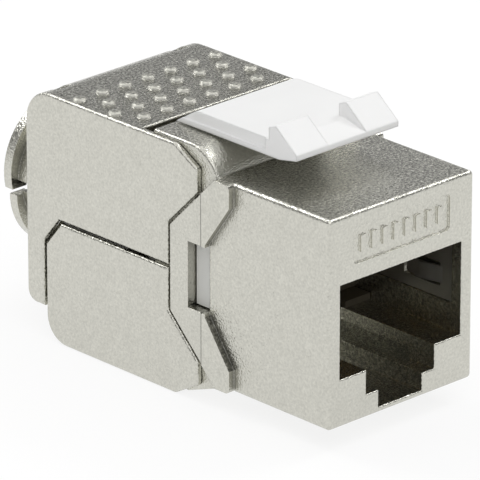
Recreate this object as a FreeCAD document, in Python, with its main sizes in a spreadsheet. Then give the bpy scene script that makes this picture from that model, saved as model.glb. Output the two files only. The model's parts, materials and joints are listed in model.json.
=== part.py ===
import FreeCAD, Part
import math
import os
from collections import namedtuple

import Sketcher

# Toolless shielded keystone jack.
# X runs across the jack, Y from the port's front face towards the cable, Z up.
# The origin is the centre of the front face, which lies flush in the panel's opening.

ROOT_TWO = math.sqrt(2.0)
CONTACTS = 8

SIZES = {
    # die-cast front housing
    "front_width": 14.5,
    "front_height": 16.2,
    "housing_length": 18.2,
    "housing_side_wall": 0.9,
    "housing_roof": 1.0,
    "corner_round": 0.35,
    "front_round": 0.3,
    # modular plug port
    "port_width": 12.2,
    "port_top": 2.85,
    "plug_ledge_drop": 4.4,
    "latch_ledge_drop": 6.3,
    "port_floor_drop": 7.65,
    "port_edge_round": 0.12,
    "plug_latch_width": 6.9,
    "plug_tab_width": 4.4,
    "front_wall": 2.6,
    "ledge_thickness": 0.95,
    "ledge_depth": 9.6,
    "latch_chamber_width": 9.8,
    "rear_cavity_front": 11.0,
    "contact_bay_front": 3.3,
    "contact_bay_top": 6.6,
    "contact_bay_width": 11.0,
    # marker plaque over the port
    "plaque_width": 9.7,
    "plaque_bottom": 4.15,
    "plaque_top": 6.95,
    "plaque_depth": 0.15,
    "tick_width": 0.45,
    "tick_height": 1.3,
    "tick_pitch": 1.1,
    # panel stop plateaus on both sides
    "plateau_height": 0.53,
    "plateau_step": 0.07,
    "panel_stop_y": 9.8,
    "stop_leg_length": 1.77,
    "plateau_waist_y": 12.33,
    "plateau_waist_height": 2.8,
    "plateau_seam_y": 12.75,
    "notch_y": 16.05,
    "window_rear": 14.2,
    "window_height": 5.2,
    # hinge shoulder on top, chin and fixed lug underneath
    "pivot_y": 14.45,
    "pivot_z": 6.8,
    "shoulder_radius": 3.2,
    "shoulder_edge_round": 0.25,
    "stop_reach": 1.85,
    "stop_clearance": 0.058,
    "trunnion_radius": 1.05,
    "trunnion_length": 0.6,
    "running_gap": 0.05,
    "chin_front": 10.95,
    "chin_slope_end": 14.6,
    "chin_depth": 1.3,
    "lug_front": 5.8,
    "lug_crest": 7.75,
    "lug_rear": 8.4,
    "lug_half_width": 4.0,
    # swing doors
    "door_half_height": 9.8,
    "door_set_back": 0.03,
    "door_side_wall": 0.45,
    "door_roof": 0.85,
    "door_gap": 0.25,
    "door_parting": 0.12,
    "door_roof_seam": 1.15,
    "door_chamfer_top": 15.6,
    "door_chamfer_drop": 1.35,
    "door_corner_round": 0.3,
    "door_edge_round": 0.22,
    "upper_door_rear_round": 2.6,
    "upper_door_rear_wall": 0.85,
    "upper_leg_thickness": 1.85,
    "upper_leg_drop": 7.2,
    "upper_leg_width": 2.2,
    "upper_leg_round": 0.95,
    "upper_leg_gap": 0.25,
    "lower_door_rear_round": 2.1,
    "lower_door_rear_wall": 0.8,
    "door_slope_run": 1.65,
    "door_slope_drop": 2.0,
    "dimple_radius": 0.5,
    "dimple_height": 0.2,
    "dimple_round": 0.18,
    "dimple_pitch": 2.27,
    "dimple_row_pitch": 1.9,
    "first_dimple_row": 1.6,
    "rear_notch_inner": 5.2,
    "rear_notch_outer": 6.6,
    "rear_notch_length": 2.35,
    "rear_notch_depth": 0.6,
    # split cable collar
    "cable_bore_radius": 3.7,
    "collar_neck_radius": 4.5,
    "collar_lip_radius": 5.2,
    "upper_lip_rise": 0.65,
    "lower_lip_drop": 0.9,
    "lower_lip_radius": 5.0,
    "collar_length": 5.35,
    "collar_stagger": 0.4,
    "collar_lip_width": 0.8,
    "upper_lip_reach": 0.5,
    # panel latch lever
    "lever_width": 10.2,
    "lever_tip_y": 5.6,
    "lever_gap": 0.12,
    "lever_thickness": 1.25,
    "lever_tip_rise": 0.35,
    "lever_tip_thickness": 0.4,
    "lever_tip_run": 1.8,
    "lever_back_y": 18.15,
    "lever_back_slope_y": 16.2,
    "lever_side_step": 0.17,
    "lever_flange": 0.4,
    "wedge_rear": 8.45,
    "wedge_crest": 7.75,
    "wedge_height": 1.2,
    "wedge_lip_drop": 0.27,
    "wedge_inner": 1.9,
    "latch_pivot_y": 14.6,
    "latch_pivot_drop": 0.7,
    "latch_foot_half_width": 3.2,
    "latch_foot_radius": 0.95,
    "latch_trunnion_radius": 0.55,
    "latch_trunnion_length": 0.55,
    "latch_foot_gap": 0.15,
    # contact insert
    "fit_gap": 0.1,
    "carrier_rear": 14.4,
    "carrier_nose_front": 3.45,
    "carrier_boss_reach": 6.9,
    "carrier_boss_gap": 0.12,
    "carrier_foot_front": 9.3,
    "carrier_foot_height": 0.5,
    "contact_pitch": 1.016,
    "contact_width": 0.35,
    "contact_thickness": 0.3,
    "contact_slot_width": 0.5,
    "contact_run_z": 4.85,
    "contact_bend_y": 4.7,
    "contact_bend_radius": 0.5,
    "contact_tip_y": 10.3,
    "contact_tip_z": 0.55,
    # circuit board and insulation displacement block
    "board_thickness": 1.0,
    "board_margin": 0.35,
    "idc_flange_thickness": 1.0,
    "idc_tower_length": 3.3,
    "idc_tower_half_height": 6.4,
    "blade_width": 2.2,
    "blade_thickness": 0.4,
    "blade_reach": 2.8,
    "blade_fork_width": 0.35,
    "blade_fork_depth": 2.6,
    "blade_slot_gap": 0.06,
    "blade_column": 3.1,
    "blade_row_z": 4.4,
    # wire manager
    "manager_length": 6.95,
    "manager_side_gap": 0.4,
    "manager_roof_gap": 0.75,
    "manager_rear_gap": 0.3,
    "manager_round": 1.2,
    "manager_bore_radius": 4.2,
    "wire_slot_width": 1.1,
    "wire_slot_depth": 3.2,
    # shield springs in the port
    "spring_thickness": 0.2,
    "spring_front": 1.0,
    "spring_rear": 10.8,
    "spring_bottom": 2.2,
    "spring_top": 2.7,
    "spring_tongue_root": 2.2,
    "spring_tongue_end": 5.65,
    "spring_tongue_bottom": 1.0,
    "spring_tongue_top": 0.3,
    "spring_slot": 0.28,
    "spring_bulge": 0.42,
}

doc = FreeCAD.newDocument("keystone_jack")
pieces = []


# ---------------------------------------------------------------- sizes

class Length:
    """A length in mm, with the spreadsheet expression that drives it."""

    def __init__(self, value, text):
        self.value = float(value)
        self.text = text

    def __add__(self, other):
        other = as_length(other)
        return Length(self.value + other.value, f"({self.text} + {other.text})")

    def __radd__(self, other):
        return as_length(other) + self

    def __sub__(self, other):
        other = as_length(other)
        return Length(self.value - other.value, f"({self.text} - {other.text})")

    def __rsub__(self, other):
        return as_length(other) - self

    def __mul__(self, factor):
        return Length(self.value * factor, f"({self.text} * {float(factor)!r})")

    def __rmul__(self, factor):
        return self * factor

    def __truediv__(self, divisor):
        return Length(self.value / divisor, f"({self.text} / {float(divisor)!r})")

    def __neg__(self):
        return Length(-self.value, f"(0 - {self.text})")


def as_length(number):
    """Return number as a Length."""
    if isinstance(number, Length):
        return number
    if number < 0:
        return Length(number, f"(0 - {-float(number)!r})")
    return Length(number, repr(float(number)))


def fill_sheet(sizes):
    """Write every driving size into the spreadsheet and return them as Lengths."""
    sheet = doc.addObject("Spreadsheet::Sheet", "Sizes")
    for row, (name, value) in enumerate(sizes.items(), start=1):
        sheet.set(f"A{row}", name)
        sheet.set(f"B{row}", str(value))
        sheet.setAlias(f"B{row}", name)
    doc.recompute()
    lengths = {name: Length(value, f"Sizes.{name}") for name, value in sizes.items()}
    return namedtuple("Lengths", lengths)(**lengths)


S = fill_sheet(SIZES)


def bind(target, prop, length):
    """Drive a property of a document object from the spreadsheet."""
    setattr(target, prop, length.value)
    target.setExpression(prop, length.text)


# ---------------------------------------------------------------- sketches

Circle = namedtuple("Circle", "u v radius")

# The plane of each view, and whether its normal points along the growing axis.
VIEWS = {"front": ("XZ_Plane", False), "side": ("YZ_Plane", True), "top": ("XY_Plane", True)}


def new_body(name):
    """Start a sub-part."""
    body = doc.addObject("PartDesign::Body", name)
    body.Label = name
    pieces.append(body)
    return body


def new_sketch(body, name, view, start):
    """Put a sketch on one of the body's own origin planes, at start along its axis."""
    role, forward = VIEWS[view]
    sketch = body.newObject("Sketcher::SketchObject", name)
    plane = [item for item in body.Origin.OriginFeatures if item.Role == role][0]
    sketch.AttachmentSupport = [(plane, "")]
    sketch.MapMode = "FlatFace"
    offset = start if forward else -start
    sketch.AttachmentOffset = FreeCAD.Placement(
        FreeCAD.Vector(0, 0, offset.value), FreeCAD.Rotation())
    sketch.setExpression(".AttachmentOffset.Base.z", offset.text)
    return sketch


def dimension(sketch, kind, where, length):
    """Add one driving dimension to a sketch."""
    index = sketch.addConstraint(Sketcher.Constraint(kind, *where, length.value))
    sketch.setExpression(f"Constraints[{index}]", length.text)


def place_point(sketch, geometry, point, u, v):
    """Fix a point of the sketch at (u, v) from the sketch's origin."""
    dimension(sketch, "DistanceX", (-1, 1, geometry, point), u)
    dimension(sketch, "DistanceY", (-1, 1, geometry, point), v)


def draw_circle(sketch, circle):
    """Draw one circle."""
    u, v, radius = (as_length(item) for item in circle)
    centre = FreeCAD.Vector(u.value, v.value, 0)
    edge = sketch.addGeometry(Part.Circle(centre, FreeCAD.Vector(0, 0, 1), radius.value), False)
    place_point(sketch, edge, 3, u, v)
    dimension(sketch, "Radius", (edge,), radius)


def corner_round(before, corner, after, radius):
    """Return where the round starts, its arc and where it ends."""
    towards_before = (before - corner).normalize()
    towards_after = (after - corner).normalize()
    half_angle = towards_before.getAngle(towards_after) / 2
    run = radius / math.tan(half_angle)
    bisector = (towards_before + towards_after).normalize()
    centre = corner + bisector * (radius / math.sin(half_angle))
    start = corner + towards_before * run
    end = corner + towards_after * run
    turns_left = towards_before.cross(towards_after).z < 0
    first, second = (start, end) if turns_left else (end, start)
    first_angle = math.atan2(first.y - centre.y, first.x - centre.x)
    second_angle = math.atan2(second.y - centre.y, second.x - centre.x)
    if second_angle < first_angle:
        second_angle += 2 * math.pi
    circle = Part.Circle(centre, FreeCAD.Vector(0, 0, 1), radius)
    return start, Part.ArcOfCircle(circle, first_angle, second_angle), end


def draw_outline(sketch, corners):
    """Draw a closed outline. Each corner is (u, v), or (u, v, radius) where it is rounded."""
    points = []
    rounds = []
    for corner in corners:
        u, v = as_length(corner[0]), as_length(corner[1])
        points.append((u, v, FreeCAD.Vector(u.value, v.value, 0)))
        rounds.append(as_length(corner[2]) if len(corner) == 3 else None)
    count = len(points)
    rounded = []
    for index in range(count):
        here = points[index][2]
        if rounds[index] is None:
            rounded.append((here, None, here))
            continue
        before, after = points[index - 1][2], points[(index + 1) % count][2]
        rounded.append(corner_round(before, here, after, rounds[index].value))
    lines = []
    for index in range(count):
        segment = Part.LineSegment(rounded[index][2], rounded[(index + 1) % count][0])
        lines.append(sketch.addGeometry(segment, False))
    for index in range(count):
        into, out = lines[index - 1], lines[index]
        u, v, here = points[index]
        if rounds[index] is None:
            sketch.addConstraint(Sketcher.Constraint("Coincident", into, 2, out, 1))
            place_point(sketch, out, 1, u, v)
            continue
        start, curve, end = rounded[index]
        arc = sketch.addGeometry(curve, False)
        starts_first = (curve.StartPoint - start).Length < (curve.StartPoint - end).Length
        begin, finish = (1, 2) if starts_first else (2, 1)
        sketch.addConstraint(Sketcher.Constraint("Tangent", into, 2, arc, begin))
        sketch.addConstraint(Sketcher.Constraint("Tangent", out, 1, arc, finish))
        vertex = sketch.addGeometry(Part.Point(here), True)
        sketch.addConstraint(Sketcher.Constraint("PointOnObject", vertex, 1, into))
        sketch.addConstraint(Sketcher.Constraint("PointOnObject", vertex, 1, out))
        place_point(sketch, vertex, 1, u, v)
        dimension(sketch, "Radius", (arc,), rounds[index])


def rectangle(u_low, v_low, u_high, v_high, radius=None):
    """Return the corners of a rectangle."""
    corners = [(u_low, v_low), (u_high, v_low), (u_high, v_high), (u_low, v_high)]
    if radius is None:
        return corners
    return [(u, v, radius) for u, v in corners]


# ---------------------------------------------------------------- features

def volume_of(body):
    """Return the body's volume, or nothing before its first feature."""
    return 0.0 if body.Shape.isNull() else body.Shape.Volume


def extrude(body, kind, name, view, shapes, start, end):
    """Pad or pocket the shapes of one view between two places along its axis."""
    start, end = as_length(start), as_length(end)
    sketch = new_sketch(body, f"{body.Name}_{name}_sketch", view, start)
    for shape in shapes:
        if isinstance(shape, Circle):
            draw_circle(sketch, shape)
        else:
            draw_outline(sketch, shape)
    doc.recompute()
    volume_before = volume_of(body)
    feature = body.newObject(f"PartDesign::{kind}", f"{body.Name}_{name}")
    feature.Profile = sketch
    bind(feature, "Length", end - start)
    forward = VIEWS[view][1]
    feature.Reversed = forward if kind == "Pocket" else not forward
    doc.recompute()
    change = volume_of(body) - volume_before
    if abs(change) < 1e-6 or (change > 0) != (kind == "Pad"):
        raise ValueError(f"{feature.Name} changed the volume by {change}")
    return feature


def add(body, name, view, shapes, start, end):
    """Pad the shapes."""
    return extrude(body, "Pad", name, view, shapes, start, end)


def cut(body, name, view, shapes, start, end):
    """Pocket the shapes."""
    return extrude(body, "Pocket", name, view, shapes, start, end)


def both_sides(inner, outer):
    """Yield the side's name, its sign and its span along X, for the left and the right."""
    inner, outer = as_length(inner), as_length(outer)
    yield "left", -1, -outer, -inner
    yield "right", 1, inner, outer


def round_edges(body, name, radius, chosen, kind="Fillet"):
    """Fillet or chamfer the edges that the test chooses."""
    base = body.Tip
    names = [f"Edge{number}" for number, edge in enumerate(base.Shape.Edges, start=1) if chosen(edge)]
    if not names:
        raise ValueError(f"{body.Name}_{name} found no edge")
    feature = body.newObject(f"PartDesign::{kind}", f"{body.Name}_{name}")
    feature.Base = (base, names)
    bind(feature, "Radius" if kind == "Fillet" else "Size", radius)
    doc.recompute()


def lies_at(edge, axis, place, tolerance=1e-4):
    """Tell whether the whole edge lies at one place along an axis."""
    box = edge.BoundBox
    low, high = getattr(box, axis + "Min"), getattr(box, axis + "Max")
    return abs(low - place) < tolerance and abs(high - place) < tolerance


# ---------------------------------------------------------------- shared places

half_width = S.front_width / 2
half_height = S.front_height / 2
cavity_half_width = half_width - S.housing_side_wall
cavity_half_height = half_height - S.housing_roof
port_half = S.port_width / 2
stop_sum = S.pivot_y + S.pivot_z - S.stop_reach
plateau_face = half_width + S.plateau_height
door_half_width = plateau_face - S.door_set_back
door_inside = door_half_width - S.door_side_wall
shoulder_top = S.pivot_z + S.shoulder_radius
lever_bottom = shoulder_top + S.lever_gap
lever_top = lever_bottom + S.lever_thickness
latch_pivot_z = shoulder_top - S.latch_pivot_drop
spring_recess = port_half + S.spring_thickness + S.running_gap
idc_block_rear = S.housing_length + S.idc_tower_length
manager_rear = idc_block_rear + S.manager_length
blade_rear = idc_block_rear + S.blade_reach
wire_slot_rear = idc_block_rear + S.wire_slot_depth
door_roof_front = S.housing_length + S.door_roof_seam
lower_door_rear = manager_rear + S.manager_rear_gap + S.lower_door_rear_wall
upper_leg_front = lower_door_rear + S.upper_leg_gap
upper_door_rear = upper_leg_front + S.upper_leg_thickness
upper_collar_end = upper_door_rear + S.collar_length
lower_collar_end = upper_collar_end - S.collar_stagger
manager_half_width = door_inside - S.manager_side_gap
manager_half_height = S.door_half_height - S.door_roof - S.manager_roof_gap


# ---------------------------------------------------------------- housing

def port_mouth():
    """Return the stepped outline of the plug opening in the front wall."""
    latch_half = S.plug_latch_width / 2
    tab_half = S.plug_tab_width / 2
    right = [
        (port_half, S.port_top),
        (port_half, -S.plug_ledge_drop),
        (latch_half, -S.plug_ledge_drop),
        (latch_half, -S.latch_ledge_drop),
        (tab_half, -S.latch_ledge_drop),
        (tab_half, -S.port_floor_drop),
    ]
    return right + [(-u, v) for u, v in reversed(right)]


def port_chamber():
    """Return the outline behind the front wall, with the plug ledges and the catch space."""
    latch_half = S.plug_latch_width / 2
    tab_half = S.plug_tab_width / 2
    chamber_half = S.latch_chamber_width / 2
    ledge_bottom = -(S.plug_ledge_drop + S.ledge_thickness)
    right = [
        (port_half, S.port_top),
        (port_half, -S.plug_ledge_drop),
        (latch_half, -S.plug_ledge_drop),
        (latch_half, ledge_bottom),
        (chamber_half, ledge_bottom),
        (chamber_half, -S.latch_ledge_drop),
        (tab_half, -S.latch_ledge_drop),
        (tab_half, -S.port_floor_drop),
    ]
    return right + [(-u, v) for u, v in reversed(right)]


def stop_plateau():
    """Return the front half of the side plateau, with its two panel stop legs."""
    leg_inner = half_height - S.stop_leg_length
    upper = [
        (S.plateau_seam_y, stop_sum - S.plateau_seam_y),
        (stop_sum - half_height, half_height),
        (S.panel_stop_y, half_height, S.corner_round),
        (S.panel_stop_y, leg_inner),
        (S.plateau_waist_y, S.plateau_waist_height),
    ]
    lower = [(corner[0], -corner[1], *corner[2:]) for corner in reversed(upper)]
    return upper + lower


def rear_plateau():
    """Return the rear half of the side plateau, where the doors' notches meet it."""
    upper = [
        (S.notch_y, stop_sum - S.notch_y),
        (S.plateau_seam_y, stop_sum - S.plateau_seam_y),
    ]
    return upper + [(u, -v) for u, v in reversed(upper)]


def shape_housing_outside(body):
    """Build the hinge shoulder, the block, the chin, the fixed lug and the plateaus."""
    shoulder_front = S.pivot_y - S.shoulder_radius
    shoulder_foot = S.pivot_z - S.shoulder_radius / 4
    shoulder = [
        (shoulder_front, shoulder_foot),
        (shoulder_front, shoulder_top, S.shoulder_radius),
        (S.housing_length, shoulder_top),
        (S.housing_length, shoulder_foot),
    ]
    add(body, "shoulder", "side", [shoulder], -half_width, half_width)

    def rim(edge):
        box = edge.BoundBox
        on_side = box.XLength < 1e-4
        lower = lies_at(edge, "Z", shoulder_foot.value)
        return on_side and not lower and not lies_at(edge, "Y", S.housing_length.value)

    round_edges(body, "shoulder_edge", S.shoulder_edge_round, rim)
    block = rectangle(-half_width, -half_height, half_width, half_height, S.corner_round)
    add(body, "block", "front", [block], 0, S.housing_length)
    chin_bottom = -(half_height + S.chin_depth)
    chin = [
        (S.chin_front, S.housing_roof - half_height),
        (S.chin_front, -half_height),
        (S.chin_slope_end, chin_bottom),
        (S.housing_length, chin_bottom),
        (S.housing_length, S.housing_roof - half_height),
    ]
    add(body, "chin", "side", [chin], -half_width, half_width)
    lug = [
        (S.lug_front, S.housing_roof - half_height),
        (S.lug_front, -half_height),
        (S.lug_crest, -S.door_half_height),
        (S.lug_rear, -S.door_half_height),
        (S.lug_rear, S.housing_roof - half_height),
    ]
    add(body, "lug", "side", [lug], -S.lug_half_width, S.lug_half_width)
    root = half_width - S.housing_side_wall / 2
    for side, sign, low, high in both_sides(root, plateau_face):
        add(body, f"stop_plateau_{side}", "side", [stop_plateau()], low, high)
    for side, sign, low, high in both_sides(root, plateau_face - S.plateau_step):
        add(body, f"rear_plateau_{side}", "side", [rear_plateau()], low, high)


def hollow_housing(body):
    """Cut the port, the chamber behind it, the contact bay and the rear cavity."""
    cut(body, "port_mouth", "front", [port_mouth()], 0, S.front_wall)
    cut(body, "port_chamber", "front", [port_chamber()], S.front_wall, S.ledge_depth)
    plug_space = rectangle(-port_half, -S.plug_ledge_drop, port_half, S.port_top)
    cut(body, "plug_space", "front", [plug_space], S.ledge_depth, S.rear_cavity_front)
    bay_half = S.contact_bay_width / 2
    bay = rectangle(-bay_half, S.port_top - S.running_gap, bay_half, S.contact_bay_top)
    cut(body, "contact_bay", "front", [bay], S.contact_bay_front, S.rear_cavity_front)
    cavity = rectangle(-cavity_half_width, -cavity_half_height, cavity_half_width, cavity_half_height)
    cut(body, "rear_cavity", "front", [cavity], S.rear_cavity_front, S.housing_length)
    recess = rectangle(-spring_recess, -S.spring_bottom, spring_recess, S.port_top)
    cut(body, "spring_recess", "front", [recess], S.spring_front, S.rear_cavity_front)


def cut_housing_sides(body):
    """Cut the snap windows and the blind holes of the door hinges."""
    window_half = S.window_height / 2
    window = rectangle(S.plateau_waist_y, -window_half, S.window_rear, window_half)
    for side, sign, low, high in both_sides(cavity_half_width, plateau_face):
        cut(body, f"window_{side}", "side", [window], low, high)
    hole_radius = S.trunnion_radius + S.running_gap
    holes = [Circle(S.pivot_y, S.pivot_z, hole_radius), Circle(S.pivot_y, -S.pivot_z, hole_radius)]
    hole_bottom = door_inside - S.trunnion_length - S.running_gap
    for side, sign, low, high in both_sides(hole_bottom, half_width):
        cut(body, f"hinge_holes_{side}", "side", [holes[0], holes[1]], low, high)


def cut_latch_seat(body):
    """Cut the pocket for the latch lever's foot, and its two trunnion holes."""
    reach = S.latch_foot_radius + S.latch_foot_gap
    seat = rectangle(S.latch_pivot_y - reach, latch_pivot_z - reach,
                     S.latch_pivot_y + reach, shoulder_top)
    seat_half = S.latch_foot_half_width + S.latch_foot_gap
    cut(body, "latch_seat", "side", [seat], -seat_half, seat_half)
    hole = Circle(S.latch_pivot_y, latch_pivot_z, S.latch_trunnion_radius + S.running_gap)
    hole_end = S.latch_foot_half_width + S.latch_trunnion_length + S.running_gap
    cut(body, "latch_holes", "side", [hole], -hole_end, hole_end)


def mark_plaque(body):
    """Sink the marker plaque over the port and leave one plain tick for each contact."""
    plaque_half = S.plaque_width / 2
    plaque = rectangle(-plaque_half, S.plaque_bottom, plaque_half, S.plaque_top, S.corner_round)
    middle = (S.plaque_bottom + S.plaque_top) / 2
    ticks = []
    for index in range(CONTACTS):
        centre = S.tick_pitch * (index - (CONTACTS - 1) / 2)
        ticks.append(rectangle(centre - S.tick_width / 2, middle - S.tick_height / 2,
                               centre + S.tick_width / 2, middle + S.tick_height / 2))
    cut(body, "plaque", "front", [plaque] + ticks, 0, S.plaque_depth)


def make_housing():
    """Build the die-cast front housing."""
    body = new_body("front_housing")
    shape_housing_outside(body)
    hollow_housing(body)
    cut_housing_sides(body)
    cut_latch_seat(body)
    mark_plaque(body)

    def front_rim(edge):
        box = edge.BoundBox
        on_side = abs(box.XMin) > half_width.value - 1 and abs(box.XMax) > half_width.value - 1
        on_top = abs(box.ZMin) > half_height.value - 1e-3 and abs(box.ZMax) > half_height.value - 1e-3
        corner = box.DiagonalLength < 1 and on_side
        wide = box.XLength > S.port_width.value or box.ZLength > S.port_width.value
        return lies_at(edge, "Y", 0) and (wide or corner) and (on_side or on_top)

    round_edges(body, "front_edge", S.front_round, front_rim)

    def port_rim(edge):
        box = edge.BoundBox
        in_port = box.ZMax < S.port_top.value + 1e-3 and box.ZMin > -S.port_floor_drop.value - 1e-3
        return lies_at(edge, "Y", 0) and in_port and abs(box.Center.x) < port_half.value + 1e-3

    round_edges(body, "port_edge", S.port_edge_round, port_rim)


# ---------------------------------------------------------------- doors

door_front = S.pivot_y - (S.stop_reach / ROOT_TWO - S.stop_clearance)
door_sum = stop_sum + S.door_gap * ROOT_TWO
door_notch_y = S.notch_y + S.door_gap
slope_root_y = upper_leg_front - S.door_slope_run


def door_nose():
    """Return the upper door's outline from its notch round its nose to its roof."""
    return [
        (door_notch_y, S.door_parting),
        (door_notch_y, door_sum - door_notch_y),
        (door_front, door_sum - door_front, S.door_corner_round),
        (door_front, S.door_half_height - S.door_chamfer_drop, S.door_corner_round),
        (S.door_chamfer_top, S.door_half_height, S.door_corner_round * 2),
    ]


def upper_door_outline():
    """Return the side view of the upper door, with its leg behind the lower door."""
    return door_nose() + [
        (upper_door_rear, S.door_half_height, S.upper_door_rear_round),
        (upper_door_rear, -S.upper_leg_drop, S.upper_leg_round),
        (upper_leg_front, -S.upper_leg_drop),
        (upper_leg_front, S.door_parting - S.door_slope_drop),
        (slope_root_y, S.door_parting),
    ]


def lower_door_outline():
    """Return the side view of the lower door."""
    nose = [(corner[0], -corner[1], *corner[2:]) for corner in door_nose()]
    return nose + [
        (lower_door_rear, -S.door_half_height, S.lower_door_rear_round),
        (lower_door_rear, -(S.door_slope_drop + S.door_parting)),
        (slope_root_y - S.upper_leg_gap, -S.door_parting),
    ]


def add_trunnions(body, pivot_z):
    """Add the two stub pins that the door turns on."""
    pin = Circle(S.pivot_y, pivot_z, S.trunnion_radius)
    inner = door_inside - S.trunnion_length
    for side, sign, low, high in both_sides(inner, door_inside + S.door_side_wall / 2):
        add(body, f"trunnion_{side}", "side", [pin], low, high)


def rims_door_flank(edge):
    """Tell whether an edge runs around the outer face of a door's side wall."""
    box = edge.BoundBox
    return box.XLength < 1e-4 and abs(abs(box.XMin) - door_half_width.value) < 1e-4


def add_dimples(body):
    """Add the staggered rows of raised grip dimples on the roof."""
    first_row = door_roof_front + S.first_dimple_row
    circles = []
    for row in range(4):
        count = 6 + row % 2
        for index in range(count):
            across = S.dimple_pitch * (index - (count - 1) / 2)
            circles.append(Circle(across, first_row + S.dimple_row_pitch * row, S.dimple_radius))
    roof = S.door_half_height
    crest = roof + S.dimple_height
    add(body, "dimples", "top", circles, roof, crest)
    round_edges(body, "dimple_domes", S.dimple_round, lambda edge: lies_at(edge, "Z", crest.value))


def make_upper_door():
    """Build the upper door with its half of the cable collar."""
    body = new_body("upper_door")
    add(body, "shell", "side", [upper_door_outline()], -door_half_width, door_half_width)
    below = -(S.upper_leg_drop + 1)
    above = S.door_half_height + 1
    roof_inside = S.door_half_height - S.door_roof
    inside = [
        (door_front - 1, below),
        (upper_leg_front, below),
        (upper_leg_front, roof_inside),
        (door_roof_front, roof_inside),
        (door_roof_front, above),
        (door_front - 1, above),
    ]
    cut(body, "inside", "side", [inside], -door_inside, door_inside)
    leg_inner = door_half_width - S.upper_leg_width
    rear_inside = upper_door_rear - S.upper_door_rear_wall
    gap_between_legs = rectangle(-leg_inner, below, leg_inner, S.door_parting)
    cut(body, "leg_gap", "front", [gap_between_legs], upper_leg_front, upper_door_rear)
    rear_hollow = rectangle(-leg_inner, S.door_parting, leg_inner, roof_inside)
    cut(body, "rear_hollow", "front", [rear_hollow], upper_leg_front, rear_inside)
    neck = Circle(0, 0, S.collar_neck_radius)
    add(body, "collar_neck", "front", [neck], rear_inside, upper_collar_end)
    half_space = rectangle(-leg_inner, below, leg_inner, S.door_parting)
    cut(body, "neck_split", "front", [half_space], rear_inside, upper_collar_end)
    lip = Circle(0, S.upper_lip_rise, S.collar_lip_radius)
    add(body, "collar_lip", "front", [lip], upper_collar_end - S.collar_lip_width, upper_collar_end)
    half_lip = rectangle(-S.collar_lip_radius * 1.1, below, S.collar_lip_radius * 1.1, -S.upper_lip_reach)
    cut(body, "lip_split", "front", [half_lip], upper_door_rear, upper_collar_end)
    bore = Circle(0, 0, S.cable_bore_radius)
    cut(body, "cable_bore", "front", [bore], rear_inside, upper_collar_end)
    for side, sign, low, high in both_sides(S.rear_notch_inner, S.rear_notch_outer):
        roof = S.door_half_height
        notch = rectangle(low, upper_door_rear - S.rear_notch_length, high, upper_door_rear)
        cut(body, f"rear_notch_{side}", "top", [notch], roof - S.rear_notch_depth, roof)
    add_trunnions(body, S.pivot_z)
    round_edges(body, "side_edges", S.door_edge_round, rims_door_flank)
    add_dimples(body)


def make_lower_door():
    """Build the lower door with its half of the cable collar."""
    body = new_body("lower_door")
    add(body, "shell", "side", [lower_door_outline()], -door_half_width, door_half_width)
    below = -(S.door_half_height + 1)
    floor_inside = S.door_roof - S.door_half_height
    rear_inside = lower_door_rear - S.lower_door_rear_wall
    inside = [
        (door_front - 1, 1),
        (rear_inside, 1),
        (rear_inside, floor_inside),
        (door_roof_front, floor_inside),
        (door_roof_front, below),
        (door_front - 1, below),
    ]
    cut(body, "inside", "side", [inside], -door_inside, door_inside)
    neck = Circle(0, 0, S.collar_neck_radius)
    add(body, "collar_neck", "front", [neck], rear_inside, lower_collar_end)
    neck_top = S.door_parting + S.door_slope_drop / 4
    room = S.collar_lip_radius * 1.1
    upper_space = rectangle(-room, -neck_top, room, room)
    cut(body, "neck_split", "front", [upper_space], rear_inside, lower_collar_end)
    lip = Circle(0, -S.lower_lip_drop, S.lower_lip_radius)
    lip_start = lower_collar_end - S.collar_lip_width
    add(body, "collar_lip", "front", [lip], lip_start, lower_collar_end)
    lip_space = rectangle(-room, -S.lower_lip_drop, room, room)
    cut(body, "lip_split", "front", [lip_space], lip_start, lower_collar_end)
    bore = Circle(0, 0, S.cable_bore_radius)
    cut(body, "cable_bore", "front", [bore], rear_inside, lower_collar_end)
    add_trunnions(body, -S.pivot_z)
    round_edges(body, "side_edges", S.door_edge_round, rims_door_flank)


# ---------------------------------------------------------------- latch lever

def lever_profile():
    """Return the side view of the latch lever's plate."""
    tip_bottom = lever_bottom + S.lever_tip_rise
    return [
        (S.lever_tip_y, tip_bottom),
        (S.lever_tip_y + S.lever_tip_run, lever_bottom, S.lever_thickness),
        (S.lever_back_y, lever_bottom),
        (S.lever_back_slope_y, lever_top, S.lever_thickness * 1.5),
        (S.wedge_crest, lever_top),
        (S.lever_tip_y, tip_bottom + S.lever_tip_thickness),
    ]


def wedge_profile():
    """Return the side view of the two catch wedges."""
    tip_top = lever_bottom + S.lever_tip_rise + S.lever_tip_thickness
    crest = lever_top + S.wedge_height
    return [
        (S.lever_tip_y, tip_top - S.lever_tip_thickness / 2),
        (S.wedge_rear, lever_top - S.lever_thickness / 2),
        (S.wedge_rear, crest - S.wedge_lip_drop),
        (S.wedge_crest, crest),
        (S.lever_tip_y, tip_top),
    ]


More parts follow.
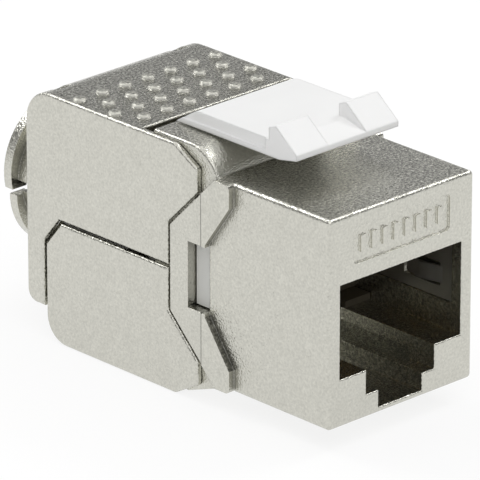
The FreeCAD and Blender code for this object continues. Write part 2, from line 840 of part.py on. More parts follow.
def make_latch_lever():
    """Build the plastic latch lever."""
    body = new_body("latch_lever")
    lever_half = S.lever_width / 2
    add(body, "plate", "side", [lever_profile()], -lever_half, lever_half)
    for side, sign, low, high in both_sides(S.wedge_inner, lever_half):
        add(body, f"wedge_{side}", "side", [wedge_profile()], low, high)
    step_bottom = lever_bottom + S.lever_flange
    step = rectangle(S.wedge_rear + S.lever_flange, step_bottom, S.lever_back_y, lever_top)
    for side, sign, low, high in both_sides(lever_half - S.lever_side_step, lever_half):
        cut(body, f"side_step_{side}", "side", [step], low, high)
    foot_bottom = latch_pivot_z - S.latch_foot_radius
    foot_front = S.latch_pivot_y - S.latch_foot_radius
    foot_rear = S.latch_pivot_y + S.latch_foot_radius
    round_foot = S.latch_foot_radius * 0.98
    foot = [
        (foot_front, lever_bottom + S.lever_flange),
        (foot_front, foot_bottom, round_foot),
        (foot_rear, foot_bottom, round_foot),
        (foot_rear, lever_bottom + S.lever_flange),
    ]
    add(body, "foot", "side", [foot], -S.latch_foot_half_width, S.latch_foot_half_width)
    pin = Circle(S.latch_pivot_y, latch_pivot_z, S.latch_trunnion_radius)
    pin_end = S.latch_foot_half_width + S.latch_trunnion_length
    add(body, "trunnions", "side", [pin], -pin_end, pin_end)


# ---------------------------------------------------------------- contact insert

def contact_x(index):
    """Return where one of the contacts lies across the jack."""
    return S.contact_pitch * (index - (CONTACTS - 1) / 2)


def make_carrier():
    """Build the plastic insert that carries the contacts."""
    body = new_body("contact_carrier")
    block_half = cavity_half_width - S.fit_gap
    block_top = cavity_half_height - S.fit_gap
    block = rectangle(-block_half, -block_top, block_half, block_top)
    add(body, "block", "front", [block], S.rear_cavity_front, S.carrier_rear)
    nose_half = S.contact_bay_width / 2 - S.fit_gap
    nose = rectangle(-nose_half, S.port_top + S.running_gap, nose_half, S.contact_bay_top - S.fit_gap)
    add(body, "nose", "front", [nose], S.carrier_nose_front, S.rear_cavity_front)
    boss_half = S.window_height / 2 - S.carrier_boss_gap
    boss = rectangle(S.plateau_waist_y + S.carrier_boss_gap, -boss_half,
                     S.window_rear - S.carrier_boss_gap, boss_half)
    for side, sign, low, high in both_sides(block_half, S.carrier_boss_reach):
        add(body, f"boss_{side}", "side", [boss], low, high)
    foot_top = S.carrier_foot_height - S.plug_ledge_drop
    foot_inner = S.plug_latch_width / 2 + S.running_gap
    for side, sign, low, high in both_sides(foot_inner, port_half - S.running_gap):
        foot = rectangle(low, -S.plug_ledge_drop, high, foot_top)
        add(body, f"foot_{side}", "front", [foot], S.carrier_foot_front, S.rear_cavity_front)
    slot_half = S.contact_slot_width / 2
    slot_top = S.contact_run_z + S.contact_thickness / 2
    slot_floor = S.contact_run_z - S.contact_thickness / 2
    tunnels = []
    for index in range(CONTACTS):
        x = contact_x(index)
        tunnels.append(rectangle(x - slot_half, slot_floor, x + slot_half, slot_top))
    slot_front = S.contact_bend_y - S.contact_thickness * 2.5
    cut(body, "tunnels", "front", tunnels, slot_front, S.carrier_rear)
    openings = []
    for index in range(CONTACTS):
        x = contact_x(index)
        openings.append(rectangle(x - slot_half, S.port_top, x + slot_half, S.contact_run_z))
    cut(body, "slots", "front", openings, slot_front, S.rear_cavity_front)


def offset_chain(points, radius, thickness):
    """Return the outline of a bent strip that follows the chain of points.

    The strip has one bend. Its inner side is rounded by radius, its outer side by
    radius plus thickness.
    """
    first, bend, last = points
    vectors = [FreeCAD.Vector(u.value, v.value, 0) for u, v in points]
    into = (vectors[1] - vectors[0]).normalize()
    out = (vectors[2] - vectors[1]).normalize()
    left_in = FreeCAD.Vector(-into.y, into.x, 0)
    left_out = FreeCAD.Vector(-out.y, out.x, 0)
    turn = into.cross(out).z
    bisector = (left_in + left_out).normalize()
    reach = 1 / bisector.dot(left_in)
    half = thickness / 2

    def beside(point, direction, factor):
        u, v = point
        return u + half * (direction.x * factor), v + half * (direction.y * factor)

    inner_round, outer_round = (radius, radius + thickness)
    left_round, right_round = (inner_round, outer_round) if turn > 0 else (outer_round, inner_round)
    return [
        beside(first, left_in, 1),
        (*beside(bend, bisector, reach), left_round),
        beside(last, left_out, 1),
        beside(last, left_out, -1),
        (*beside(bend, bisector, -reach), right_round),
        beside(first, left_in, -1),
    ]


def make_contact(index):
    """Build one bent spring contact."""
    body = new_body(f"contact_{index + 1}")
    chain = [
        (S.carrier_rear, S.contact_run_z),
        (S.contact_bend_y, S.contact_run_z),
        (S.contact_tip_y, S.contact_tip_z),
    ]
    outline = offset_chain(chain, S.contact_bend_radius, S.contact_thickness)
    x = contact_x(index)
    add(body, "strip", "side", [outline], x - S.contact_width / 2, x + S.contact_width / 2)


# ---------------------------------------------------------------- rear insert

board_rear = S.carrier_rear + S.board_thickness


def make_board():
    """Build the circuit board between the contacts and the blades."""
    body = new_body("circuit_board")
    half = cavity_half_width - S.board_margin
    top = cavity_half_height - S.board_margin
    outline = rectangle(-half, -top, half, top, S.board_margin)
    add(body, "plate", "front", [outline], S.carrier_rear, board_rear)


def blade_places():
    """Yield the number, x and z of each blade."""
    number = 1
    for row in (1, -1):
        for column in (-1.5, -0.5, 0.5, 1.5):
            yield number, S.blade_column * column, S.blade_row_z * row
            number += 1


def blade_slits(gap):
    """Return the blades' cross-sections, widened by gap all round."""
    slits = []
    for number, x, z in blade_places():
        half = S.blade_width / 2 + gap
        rise = S.blade_thickness / 2 + gap
        slits.append(rectangle(x - half, z - rise, x + half, z + rise))
    return slits


def make_idc_block():
    """Build the block that holds the blades behind the housing."""
    body = new_body("idc_block")
    plug_half = cavity_half_width - S.fit_gap
    plug_top = cavity_half_height - S.fit_gap
    flange_rear = S.housing_length + S.idc_flange_thickness
    plug = rectangle(-plug_half, -plug_top, plug_half, plug_top)
    add(body, "plug", "front", [plug], board_rear, S.housing_length)
    flange_half = manager_half_width
    flange_top = manager_half_height
    flange = rectangle(-flange_half, -flange_top, flange_half, flange_top, S.corner_round)
    add(body, "flange", "front", [flange], S.housing_length, flange_rear)
    tower_top = S.idc_tower_half_height
    tower = rectangle(-plug_half, -tower_top, plug_half, tower_top, S.corner_round)
    add(body, "tower", "front", [tower], flange_rear, idc_block_rear)
    cut(body, "slits", "front", blade_slits(S.blade_slot_gap), board_rear, idc_block_rear)


def make_blade(number, x, z):
    """Build one forked blade that cuts into a wire."""
    body = new_body(f"idc_blade_{number}")
    half = S.blade_width / 2
    fork = S.blade_fork_width / 2
    bottom = blade_rear - S.blade_fork_depth
    outline = [
        (x - half, board_rear),
        (x + half, board_rear),
        (x + half, blade_rear - half / 2),
        (x + half / 2, blade_rear),
        (x + fork, blade_rear - half / 2),
        (x + fork, bottom),
        (x - fork, bottom),
        (x - fork, blade_rear - half / 2),
        (x - half / 2, blade_rear),
        (x - half, blade_rear - half / 2),
    ]
    rise = S.blade_thickness / 2
    add(body, "plate", "top", [outline], z - rise, z + rise)


def make_wire_manager():
    """Build the cap that holds the wires and presses them into the blades."""
    body = new_body("wire_manager")
    half = manager_half_width
    top = manager_half_height
    block = rectangle(-half, -top, half, top, S.manager_round)
    add(body, "block", "front", [block], idc_block_rear, manager_rear)
    bore = Circle(0, 0, S.manager_bore_radius)
    cut(body, "bore", "front", [bore], idc_block_rear, manager_rear)
    slots = []
    slot_half = S.wire_slot_width / 2
    for column in (-1.5, -0.5, 0.5, 1.5):
        x = S.blade_column * column
        slots.append(rectangle(x - slot_half, -(top + 1), x + slot_half, top + 1))
    cut(body, "wire_slots", "front", slots, idc_block_rear, wire_slot_rear)
    slits = blade_slits(S.blade_slot_gap * 2)
    cut(body, "blade_slits", "front", slits, idc_block_rear, wire_slot_rear)


# ---------------------------------------------------------------- shield springs

def make_shield_spring(side, sign):
    """Build one sheet spring on a side wall of the port."""
    body = new_body(f"shield_spring_{side}")
    outer = spring_recess
    inner = outer - S.spring_thickness
    plate = rectangle(S.spring_front + S.running_gap, -S.spring_bottom + S.running_gap,
                      S.spring_rear, S.spring_top)
    window = rectangle(S.spring_tongue_root, -(S.spring_tongue_bottom + S.spring_slot),
                       S.spring_tongue_end + S.spring_slot, S.spring_tongue_top + S.spring_slot,
                       S.spring_slot / 2)
    low, high = (inner, outer) if sign > 0 else (-outer, -inner)
    add(body, "plate", "side", [plate], low, high)
    cut(body, "window", "side", [window], low, high)
    middle = (inner + outer) / 2 * sign
    crest = (S.spring_tongue_root + S.spring_tongue_end) / 2
    chain = [
        (middle, S.spring_tongue_root - S.spring_thickness),
        (middle - S.spring_bulge * sign, crest),
        (middle, S.spring_tongue_end),
    ]
    outline = offset_chain(chain, S.spring_thickness * 3, S.spring_thickness)
    add(body, "tongue", "top", [outline], -S.spring_tongue_bottom, S.spring_tongue_top)


# ---------------------------------------------------------------- assembly

def make_all():
    """Build every sub-part."""
    make_housing()
    make_upper_door()
    make_lower_door()
    make_latch_lever()
    make_carrier()
    for index in range(CONTACTS):
        make_contact(index)
    make_board()
    make_idc_block()
    for number, x, z in blade_places():
        make_blade(number, x, z)
    make_wire_manager()
    make_shield_spring("left", -1)
    make_shield_spring("right", 1)


def check_document():
    """Stop if an object failed or a sub-part has no valid shape."""
    for item in doc.Objects:
        if "Invalid" in item.State or "Error" in item.State:
            raise ValueError(f"{item.Label} is {item.State}")
    for body in pieces:
        if body.Shape.isNull() or not body.Shape.isValid():
            raise ValueError(f"{body.Label} has no valid shape")
        if len(body.Shape.Solids) != 1:
            raise ValueError(f"{body.Label} has {len(body.Shape.Solids)} solids")


def write_parts():
    """Write each sub-part to its own STEP file."""
    os.makedirs("parts", exist_ok=True)
    for body in pieces:
        body.Shape.exportStep(f"parts/{body.Label}.step")


make_all()
doc.recompute()
check_document()
write_parts()
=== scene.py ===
import json
import math

import bpy
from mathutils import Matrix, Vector


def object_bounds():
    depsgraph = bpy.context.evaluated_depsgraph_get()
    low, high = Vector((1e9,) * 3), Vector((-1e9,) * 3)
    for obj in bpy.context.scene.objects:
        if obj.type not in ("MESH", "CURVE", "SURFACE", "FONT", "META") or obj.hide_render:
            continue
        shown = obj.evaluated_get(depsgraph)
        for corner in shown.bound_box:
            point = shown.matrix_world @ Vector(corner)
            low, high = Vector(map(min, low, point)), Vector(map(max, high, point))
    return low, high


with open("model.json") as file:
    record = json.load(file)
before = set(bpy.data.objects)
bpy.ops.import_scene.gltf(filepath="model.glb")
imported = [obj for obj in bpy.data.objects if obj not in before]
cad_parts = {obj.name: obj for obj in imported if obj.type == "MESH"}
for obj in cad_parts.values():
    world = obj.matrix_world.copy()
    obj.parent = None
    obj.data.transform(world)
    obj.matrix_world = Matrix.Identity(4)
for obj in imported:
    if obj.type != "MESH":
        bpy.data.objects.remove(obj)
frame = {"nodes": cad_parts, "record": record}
cad_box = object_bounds()

# Looks of the keystone jack: satin nickel over die-cast zinc, a white plastic latch,
# a pale insert with gilt contacts, and a plain pale studio.

MM = 0.001

# The camera looks through a long lens at the jack's left side and front, from above.
CAMERA_AZIMUTH = math.radians(-43.48)
CAMERA_ELEVATION = math.radians(22.14)
CAMERA_DISTANCE = 485 * MM
CAMERA_TARGET = Vector((0, 16, 0.3)) * MM
CAMERA_SLIDE_RIGHT = -0.560 * MM
CAMERA_SLIDE_UP = -0.301 * MM
CAMERA_LENS = 496.7
CAMERA_SENSOR = 36
CAMERA_CLIP = (0.05, 20)

# Floor, with its side in metres.
FLOOR_SIZE = 3.0
FLOOR_TONE = 0.80
FLOOR_SHADOW_SHARE = 0.18
FLOOR_GLOW = 0.82

# The room that metal reflects: (height, tone), with 0 at the horizon and below, and 1 straight above.
ROOM_TONES = [(0.0, 0.98), (0.06, 0.80), (0.44, 0.11), (0.58, 0.20), (0.68, 0.96), (1.0, 1.0)]

# Zones of the castings. Each is the start and end of a soft step, in millimetres.
ROOF_ZONE = (9.5, 9.7)
DIMPLE_ZONE = (9.81, 9.86)
CORE_SIDE = (6.2, 6.4)
CORE_TOP = (7.6, 7.8)
CORE_REAR = (10.8, 11.0)
PORT_FRONT = (0.4, 0.6)
STOP_WALL = (7.1, 7.2)
STOP_FACE = (7.45, 7.55)
SEAM_PLACE = 12.75
SEAM_HALF_WIDTH = (0.03, 0.10)
WINDOW_BOSS = (6.40, 6.45)

# Ways a face may look, as the start and end of a soft step in one part of its normal.
LOOKS_UP = (0.90, 0.99)
LOOKS_FORWARD = (-0.70, -0.76)
LEANS_UP = (0.42, 0.50)

# Reach of the shading, in millimetres.
EDGE_SOFTNESS = 0.10
DOOR_ROOF_SOFTNESS = 0.38
MOULDING_SOFTNESS = 0.22
WEAR_REACH = 0.12
CORNER_SHADE_REACH = 1.1

# How far a rounded normal agrees with the flat one, from no wear to full wear, and how open a
# corner is, from full painted corner shade to none.
WEAR_BAND = (0.98, 0.80)
CORNER_SHADE_BAND = (0.35, 0.90)

# Factors on the nickel's colour, and the contrast of its speckle.
SMOOTH_SPECKLE = 0.45
ROUGH_SPECKLE = 2.8
WEAR_TONE = 1.20
# Painted shade in the inner corners.
CORNER_SHADE_TONE = 0.40
# Painted shade on the forward-facing slopes of the stop plateaus.
SLOPE_SHADE_TONE = 0.40
SEAM_TONE = 0.30
# Painted shade on the faces of the door's roof that look up.
DOOR_ROOF_SHADE_TONE = 0.86

# Colours, each as its darkest and lightest tone.
NICKEL = ((0.56, 0.553, 0.498), (0.62, 0.613, 0.554))
WHITE = ((0.85, 0.85, 0.845), (0.90, 0.90, 0.895))
PALE_GREY = ((0.62, 0.62, 0.61), (0.70, 0.70, 0.69))
NATURAL = ((0.66, 0.66, 0.63), (0.74, 0.74, 0.71))
# Painted shade: the insert's colour inside the port.
PORT_SHADE_BLACK = ((0.055, 0.046, 0.030), (0.085, 0.072, 0.048))
GOLD = ((0.80, 0.55, 0.20), (0.90, 0.66, 0.30))
TIN = ((0.60, 0.58, 0.54), (0.72, 0.70, 0.66))
STEEL = ((0.50, 0.49, 0.47), (0.62, 0.61, 0.59))
GREEN = ((0.012, 0.10, 0.045), (0.02, 0.15, 0.07))

# Roughness: the nickel's range, what the dimples add, and how far plastic and strip vary.
NICKEL_ROUGHNESS = (0.17, 0.25)
DIMPLE_ROUGHNESS = 0.20
PLASTIC_VARIATION = (-0.04, 0.04)
STRIP_VARIATION = (-0.05, 0.08)

# Edges that bend more than this keep their crease in the shading.
SHARP_EDGE = math.radians(28)


# ---------------------------------------------------------------- node helpers

def grey(tone):
    """Return a grey as a colour with alpha."""
    return (tone, tone, tone, 1)


class NodeGraph:
    """Short calls for wiring one node tree."""

    def __init__(self, tree):
        self.tree = tree
        tree.nodes.clear()

    def add(self, kind, inputs=None, **settings):
        """Add a node, set its settings and fill its inputs with values or other sockets."""
        node = self.tree.nodes.new(kind)
        for name, value in settings.items():
            setattr(node, name, value)
        for name, value in (inputs or {}).items():
            if isinstance(value, bpy.types.NodeSocket):
                self.tree.links.new(value, node.inputs[name])
            else:
                node.inputs[name].default_value = value
        return node

    def ramp(self, factor, stops):
        """Map a factor through a colour ramp given as (position, tone) stops."""
        node = self.add("ShaderNodeValToRGB", {"Fac": factor})
        elements = node.color_ramp.elements
        for element, (position, tone) in zip(elements, (stops[0], stops[-1])):
            element.position = position
            element.color = grey(tone)
        for position, tone in stops[1:-1]:
            elements.new(position).color = grey(tone)
        return node.outputs["Color"]

    def surface(self, colour, roughness, normal, metallic=0.0):
        """End a material with one surface shader."""
        shader = self.add("ShaderNodeBsdfPrincipled", {
            "Base Color": colour, "Metallic": metallic, "Roughness": roughness, "Normal": normal})
        self.add("ShaderNodeOutputMaterial", {"Surface": shader.outputs[0]})


def new_material(name):
    """Return a new material and its graph."""
    material = bpy.data.materials.new(name)
    material.use_nodes = True
    return material, NodeGraph(material.node_tree)


def object_position(graph):
    """Return the place on the object, in metres."""
    return graph.add("ShaderNodeTexCoord").outputs["Object"]


def parts_of(graph, vector):
    """Return the sockets X, Y and Z of a vector."""
    return graph.add("ShaderNodeSeparateXYZ", {"Vector": vector}).outputs


def blend_colours(graph, factor, first, second):
    """Mix two colours, each given as numbers or a socket, by a factor socket."""
    node = graph.add("ShaderNodeMix", {"Factor": factor}, data_type="RGBA")
    for name, colour in (("A", first), ("B", second)):
        if isinstance(colour, bpy.types.NodeSocket):
            graph.tree.links.new(colour, node.inputs[name])
        else:
            node.inputs[name].default_value = (*colour, 1)
    return node.outputs[2]


def noise(graph, position, scale, detail=2.0, roughness=0.5):
    """Return a noise factor. The scale counts features per metre."""
    inputs = {"Vector": position, "Scale": scale, "Detail": detail, "Roughness": roughness}
    return graph.add("ShaderNodeTexNoise", inputs).outputs["Fac"]


def arithmetic(graph, operation, first, second=0.0):
    """Return one arithmetic step on sockets or numbers."""
    return graph.add("ShaderNodeMath", {0: first, 1: second}, operation=operation).outputs[0]


def size_of(graph, value):
    """Return a socket without its sign."""
    return arithmetic(graph, "ABSOLUTE", value)


def product(graph, first, *others):
    """Multiply sockets, one after another."""
    for other in others:
        first = arithmetic(graph, "MULTIPLY", first, other)
    return first


def largest(graph, first, *others):
    """Return the largest of several sockets."""
    for other in others:
        first = arithmetic(graph, "MAXIMUM", first, other)
    return first


def between(graph, value, band, low=0.0, high=1.0):
    """Map a socket from the start and end of a band onto low to high, clamped."""
    start, end = band
    return graph.add("ShaderNodeMapRange", {
        "Value": value, "From Min": start, "From Max": end, "To Min": low, "To Max": high}).outputs[0]


def spread(graph, share, low, high):
    """Map a socket from 0 to 1 onto low to high."""
    return between(graph, share, (0.0, 1.0), low, high)


def zone(graph, length, band, low=0.0, high=1.0):
    """Map a length from the start and end of a band in millimetres onto low to high, clamped."""
    start, end = band
    return between(graph, length, (start * MM, end * MM), low, high)


def vary(graph, share, middle, variation):
    """Map a socket from 0 to 1 onto the variation about a middle value."""
    below, above = variation
    return spread(graph, share, middle + below, middle + above)


def outside_zone(graph, length, band):
    """Return 1 before a band in millimetres and 0 after it."""
    return zone(graph, length, band, low=1.0, high=0.0)


def rounded_normal(graph, radius, samples=8):
    """Return the normal with sharp edges rounded. The radius is in metres."""
    return graph.add("ShaderNodeBevel", {"Radius": radius}, samples=samples).outputs[0]


def bumped_normal(graph, height, strength, distance, normal=None):
    """Return a normal that is tilted by a height texture. The distance is in millimetres."""
    inputs = {"Height": height, "Strength": strength, "Distance": distance * MM}
    if normal is not None:
        inputs["Normal"] = normal
    return graph.add("ShaderNodeBump", inputs).outputs[0]


# ---------------------------------------------------------------- nickel

def edge_wear(graph):
    """Return the factor on an edge's colour, from how far its rounded normal bends."""
    flat = graph.add("ShaderNodeNewGeometry").outputs["Normal"]
    bent = rounded_normal(graph, WEAR_REACH * MM, samples=4)
    inputs = {0: flat, 1: bent}
    agree = graph.add("ShaderNodeVectorMath", inputs, operation="DOT_PRODUCT").outputs["Value"]
    return spread(graph, between(graph, agree, WEAR_BAND), 1.0, WEAR_TONE)


def painted_corner_shade(graph):
    """Return painted shade: a factor that falls to its darkest tone in the inner corners of a piece, from
    ambient occlusion.
    """
    inputs = {"Distance": CORNER_SHADE_REACH * MM}
    shade = graph.add("ShaderNodeAmbientOcclusion", inputs, samples=6, only_local=True)
    return between(graph, shade.outputs["AO"], CORNER_SHADE_BAND, CORNER_SHADE_TONE, 1.0)


def mould_seam(graph, along, across, seam_tone):
    """Return a factor that falls to seam_tone along the mould's seam, on the side plateaus alone."""
    from_seam = size_of(graph, arithmetic(graph, "SUBTRACT", along, SEAM_PLACE * MM))
    line = zone(graph, from_seam, SEAM_HALF_WIDTH, seam_tone, 1.0)
    return largest(graph, line, outside_zone(graph, across, STOP_FACE))


def nickel_tone(graph, coordinates, place, roof_shade_tone, seam_tone):
    """Return the factor on the nickel's colour: speckle, wear, painted shade in inner corners, painted
    shade on faces that look up and on the stop slopes, and the seam.

    The core holds the port. It takes no painted corner shade, and its walls are speckled like the faces
    that look up.
    """
    facing = parts_of(graph, coordinates["Normal"])
    across = size_of(graph, place["X"])
    upward = between(graph, facing["Z"], LOOKS_UP)
    slope = product(
        graph, between(graph, facing["Y"], LOOKS_FORWARD), between(graph, facing["Z"], LEANS_UP),
        zone(graph, across, STOP_WALL))
    core = product(
        graph, outside_zone(graph, across, CORE_SIDE), outside_zone(graph, place["Z"], CORE_TOP),
        outside_zone(graph, place["Y"], CORE_REAR))
    port = product(graph, core, zone(graph, place["Y"], PORT_FRONT))

    contrast = spread(graph, largest(graph, upward, slope, port), SMOOTH_SPECKLE, ROUGH_SPECKLE)
    grain = arithmetic(graph, "SUBTRACT", noise(graph, coordinates["Object"], scale=5200), 0.5)
    speckle = arithmetic(graph, "ADD", product(graph, grain, contrast), 1.0)
    # Painted shade darkens the inner corners, outside the core.
    corner_shade = largest(graph, painted_corner_shade(graph), core)
    # Painted shade: faces that look up are darkened by the roof factor.
    roof_shade = spread(graph, upward, 1.0, roof_shade_tone)
    # Painted shade: the forward-facing slopes of the stop plateaus are darkened.
    slope_shade = spread(graph, slope, 1.0, SLOPE_SHADE_TONE)
    seam = mould_seam(graph, place["Y"], across, seam_tone)
    return product(graph, corner_shade, speckle, edge_wear(graph), roof_shade, slope_shade, seam)


def nickel_normal(graph, position, height, roof_softness):
    """Return the normal of the plated skin: softened edges, fine pebbles and slow waves."""
    softness = zone(graph, height, ROOF_ZONE, EDGE_SOFTNESS * MM, roof_softness * MM)
    rounded = rounded_normal(graph, softness)
    pebbles = noise(graph, position, scale=6800, detail=1.0, roughness=0.6)
    skin = bumped_normal(graph, pebbles, strength=1.0, distance=0.05, normal=rounded)
    waves = noise(graph, position, scale=420, detail=1.0)
    return bumped_normal(graph, waves, strength=0.25, distance=0.05, normal=skin)


def cast_nickel(name, roof_softness=EDGE_SOFTNESS, dimple_roughness=0.0, roof_shade_tone=1.0, seam_tone=1.0):
    """Satin nickel plate over a die casting, with the casting's fine pebbled skin.

    roof_softness rounds the edges above ROOF_ZONE, in millimetres. dimple_roughness is added above
    DIMPLE_ZONE. roof_shade_tone is painted shade, the factor on faces that look up, and seam_tone the
    one on the line where the halves of the mould met.
    """
    material, graph = new_material(name)
    coordinates = graph.add("ShaderNodeTexCoord").outputs
    position = coordinates["Object"]
    place = parts_of(graph, position)
    mottle = noise(graph, position, scale=700, detail=3.0)
    tone = nickel_tone(graph, coordinates, place, roof_shade_tone, seam_tone)
    inputs = {0: blend_colours(graph, mottle, *NICKEL), "Scale": tone}
    colour = graph.add("ShaderNodeVectorMath", inputs, operation="SCALE").outputs[0]
    sheen = spread(graph, noise(graph, position, scale=260), *NICKEL_ROUGHNESS)
    dimples = zone(graph, place["Z"], DIMPLE_ZONE, 0.0, dimple_roughness)
    roughness = arithmetic(graph, "ADD", sheen, dimples)
    normal = nickel_normal(graph, position, place["Z"], roof_softness)
    graph.surface(colour, roughness, normal, metallic=1.0)
    return material


# ---------------------------------------------------------------- other materials

def plastic_cloud(graph, position):
    """Return the slow cloudiness of moulded plastic."""
    return noise(graph, position, scale=180)


def finish_plastic(graph, position, cloud, colour, roughness, grain, normal=None):
    """End a plastic material with a cloudy sheen and a fine spark-eroded grain."""
    sheen = vary(graph, cloud, roughness, PLASTIC_VARIATION)
    texture = noise(graph, position, scale=6000)
    graph.surface(colour, sheen, bumped_normal(graph, texture, grain, distance=0.01, normal=normal))


def moulded_plastic(name, dark, light, roughness, grain):
    """Moulded plastic with softened edges."""
    material, graph = new_material(name)
    position = object_position(graph)
    cloud = plastic_cloud(graph, position)
    colour = blend_colours(graph, cloud, dark, light)
    normal = rounded_normal(graph, MOULDING_SOFTNESS * MM)
    finish_plastic(graph, position, cloud, colour, roughness, grain, normal)
    return material


def insert_plastic():
    """Moulding of the contact insert: natural where its boss fills the window, and near black inside the
    port as painted shade.
    """
    material, graph = new_material("insert_plastic")
    position = object_position(graph)
    cloud = plastic_cloud(graph, position)
    natural = blend_colours(graph, cloud, *NATURAL)
    port_shade = blend_colours(graph, cloud, *PORT_SHADE_BLACK)
    boss = zone(graph, size_of(graph, parts_of(graph, position)["X"]), WINDOW_BOSS)
    # Inside the port the insert's natural colour gives way to near black, as painted shade.
    colour = blend_colours(graph, boss, port_shade, natural)
    finish_plastic(graph, position, cloud, colour, roughness=0.50, grain=0.35)
    return material


def plated_strip(name, dark, light, roughness):
    """Bright plated metal strip with rolling marks."""
    material, graph = new_material(name)
    inputs = {"Vector": object_position(graph), "Scale": (6000, 250, 250)}
    stretch = graph.add("ShaderNodeMapping", inputs).outputs[0]
    streaks = noise(graph, stretch, scale=1.0)
    colour = blend_colours(graph, streaks, dark, light)
    sheen = vary(graph, streaks, roughness, STRIP_VARIATION)
    normal = bumped_normal(graph, streaks, strength=0.3, distance=0.004)
    graph.surface(colour, sheen, normal, metallic=1.0)
    return material


def solder_resist():
    """Green lacquered circuit board."""
    material, graph = new_material("solder_resist")
    inputs = {"Vector": object_position(graph), "Scale": 900.0, "Distortion": 1.5}
    weave = graph.add("ShaderNodeTexWave", inputs).outputs["Fac"]
    colour = blend_colours(graph, weave, *GREEN)
    normal = bumped_normal(graph, weave, strength=0.2, distance=0.01)
    graph.surface(colour, roughness=0.28, normal=normal)
    return material


def slot_finishes():
    """Return the material of each slot that the record names."""
    return {
        "nickel_plate": cast_nickel("cast_nickel"),
        "white_plastic": moulded_plastic("white_plastic", *WHITE, roughness=0.42, grain=0.25),
        "insert_plastic": insert_plastic(),
        "manager_plastic": moulded_plastic("manager_plastic", *PALE_GREY, roughness=0.48, grain=0.35),
        "gold_plate": plated_strip("gold_plate", *GOLD, roughness=0.22),
        "blade_tin": plated_strip("blade_tin", *TIN, roughness=0.30),
        "board_green": solder_resist(),
        "spring_steel": plated_strip("spring_steel", *STEEL, roughness=0.32),
    }


def own_finishes():
    """Return the nickel of the castings that have marks of their own."""
    return {
        "front_housing": cast_nickel("housing_nickel", seam_tone=SEAM_TONE),
        # The door's roof takes painted shade on its faces that look up.
        "upper_door": cast_nickel(
            "door_nickel", roof_softness=DOOR_ROOF_SOFTNESS, dimple_roughness=DIMPLE_ROUGHNESS,
            roof_shade_tone=DOOR_ROOF_SHADE_TONE),
    }


def dress_nodes():
    """Give every CAD node its material, and smooth shading between its sharp edges."""
    by_slot = slot_finishes()
    by_node = own_finishes()
    for part in frame["record"]["subparts"]:
        mesh = frame["nodes"][part["node"]].data
        mesh.materials.clear()
        mesh.materials.append(by_node.get(part["node"], by_slot[part["material_slot"]]))
        mesh.shade_smooth()
        mesh.set_sharp_from_angle(angle=SHARP_EDGE)


# ---------------------------------------------------------------- studio

def aim(thing, location, back):
    """Place a camera or lamp so that it looks against the back direction."""
    thing.location = location
    thing.rotation_mode = "QUATERNION"
    thing.rotation_quaternion = back.to_track_quat("Z", "Y")


def make_camera():
    """Set up the long-lens camera."""
    back = Vector((
        math.sin(CAMERA_AZIMUTH) * math.cos(CAMERA_ELEVATION),
        -math.cos(CAMERA_AZIMUTH) * math.cos(CAMERA_ELEVATION),
        math.sin(CAMERA_ELEVATION)))
    right = Vector((math.cos(CAMERA_AZIMUTH), math.sin(CAMERA_AZIMUTH), 0))
    up = back.cross(right)
    data = bpy.data.cameras.new("camera")
    data.sensor_width = CAMERA_SENSOR
    data.lens = CAMERA_LENS
    data.clip_start, data.clip_end = CAMERA_CLIP
    camera = bpy.data.objects.new("camera", data)
    bpy.context.scene.collection.objects.link(camera)
    slide = right * CAMERA_SLIDE_RIGHT + up * CAMERA_SLIDE_UP
    aim(camera, CAMERA_TARGET + back * CAMERA_DISTANCE + slide, back)
    bpy.context.scene.camera = camera


def make_lamp(name, direction, distance, width, power):
    """Hang one square soft box that faces the jack. Lengths are in metres and the power in watts."""
    data = bpy.data.lights.new(name, "AREA")
    data.shape = "SQUARE"
    data.size = width
    data.energy = power
    lamp = bpy.data.objects.new(name, data)
    bpy.context.scene.collection.objects.link(lamp)
    back = Vector(direction).normalized()
    aim(lamp, CAMERA_TARGET + back * distance, back)


def make_lamps():
    """Light the jack from behind, from the camera's side and from its right."""
    make_lamp("back", direction=(-0.1, 0.7, 0.7), distance=0.9, width=0.35, power=1.9)
    make_lamp("fill", direction=(-0.6, -1.0, 0.9), distance=1.0, width=0.8, power=1.7)
    make_lamp("right", direction=(0.65, -0.1, 0.72), distance=0.9, width=0.3, power=1.4)


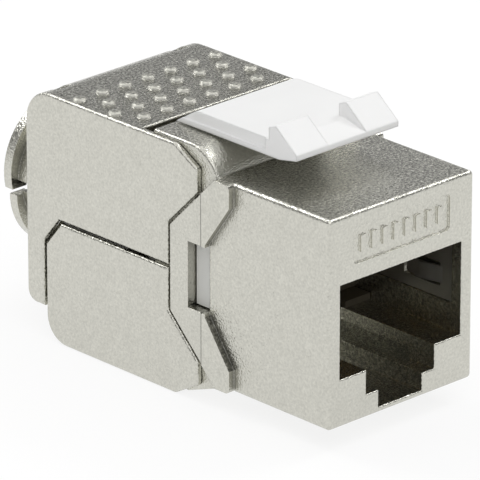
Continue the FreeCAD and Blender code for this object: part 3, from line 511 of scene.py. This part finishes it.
def floor_material():
    """White floor. What sees it directly gets an even glow and a share of the jack's soft shadow."""
    material, graph = new_material("pale_floor")
    path = graph.add("ShaderNodeLightPath").outputs
    seen = largest(
        graph, path["Is Camera Ray"], path["Is Glossy Ray"], path["Is Transmission Ray"])
    lit = graph.add("ShaderNodeBsdfDiffuse", {"Color": grey(FLOOR_TONE)})
    shaded = graph.add("ShaderNodeBsdfDiffuse", {"Color": grey(FLOOR_SHADOW_SHARE)})
    glow = graph.add("ShaderNodeEmission", {"Color": grey(1), "Strength": FLOOR_GLOW})
    bright = graph.add("ShaderNodeAddShader", {0: shaded.outputs[0], 1: glow.outputs[0]})
    mix = graph.add("ShaderNodeMixShader", {"Fac": seen, 1: lit.outputs[0], 2: bright.outputs[0]})
    graph.add("ShaderNodeOutputMaterial", {"Surface": mix.outputs[0]})
    return material


def make_floor(height):
    """Lay the floor under the jack."""
    mesh = bpy.data.meshes.new("floor")
    half = FLOOR_SIZE / 2
    corners = [(-half, -half, height), (half, -half, height), (half, half, height), (-half, half, height)]
    mesh.from_pydata(corners, [], [(0, 1, 2, 3)])
    mesh.materials.append(floor_material())
    floor = bpy.data.objects.new("floor", mesh)
    bpy.context.scene.collection.objects.link(floor)


def make_world():
    """Surround the jack with a room that is white to the camera and has ROOM_TONES for other rays."""
    world = bpy.data.worlds.new("studio")
    world.use_nodes = True
    bpy.context.scene.world = world
    graph = NodeGraph(world.node_tree)
    direction = graph.add("ShaderNodeTexCoord").outputs["Generated"]
    room = graph.ramp(parts_of(graph, direction)["Z"], ROOM_TONES)
    around = graph.add("ShaderNodeBackground", {"Color": room, "Strength": 1.0})
    white = graph.add("ShaderNodeBackground", {"Color": grey(1), "Strength": 1.0})
    seen = graph.add("ShaderNodeLightPath").outputs["Is Camera Ray"]
    mix = graph.add("ShaderNodeMixShader", {"Fac": seen, 1: around.outputs[0], 2: white.outputs[0]})
    graph.add("ShaderNodeOutputWorld", {"Surface": mix.outputs[0]})


# ---------------------------------------------------------------- scene


dress_nodes()
make_floor(cad_box[0].z)
make_world()
make_lamps()
make_camera()
bpy.context.scene.view_settings.view_transform = "Standard"
